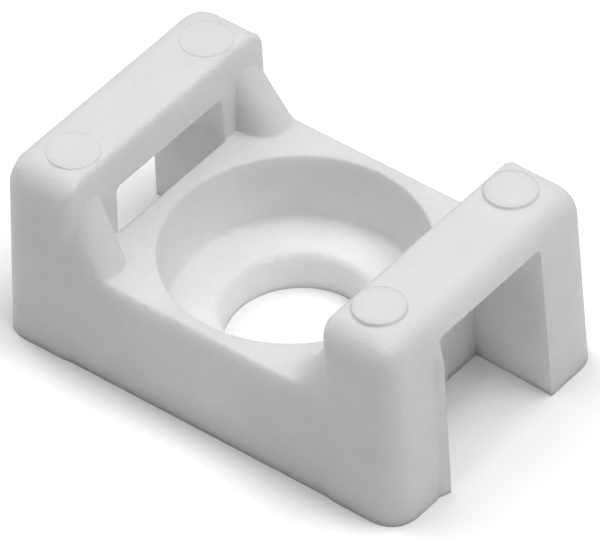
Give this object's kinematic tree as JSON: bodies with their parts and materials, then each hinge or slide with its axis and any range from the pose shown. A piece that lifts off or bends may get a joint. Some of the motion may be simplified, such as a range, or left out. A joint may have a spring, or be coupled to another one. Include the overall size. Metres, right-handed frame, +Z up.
{
  "type": "screw cable tie mount",
  "caption": "Screw-down cable tie mount moulded in one piece: a saddle with a counterbored screw hole between raised arches that a cable tie threads under.",
  "frame": {"origin": "centre of the flat underside, on the screw hole's axis", "axes": "+X along the cable tie, +Y across it along the bars, +Z up out of the mounting surface"},
  "size_m": [0.0184, 0.0116, 0.0081],
  "materials": {
    "moulded_natural_nylon": "natural off-white nylon with a fine matt mould finish"
  },
  "bodies": {
    "root": {"cable_tie_mount": "moulded_natural_nylon"}
  },
  "joints": []
}
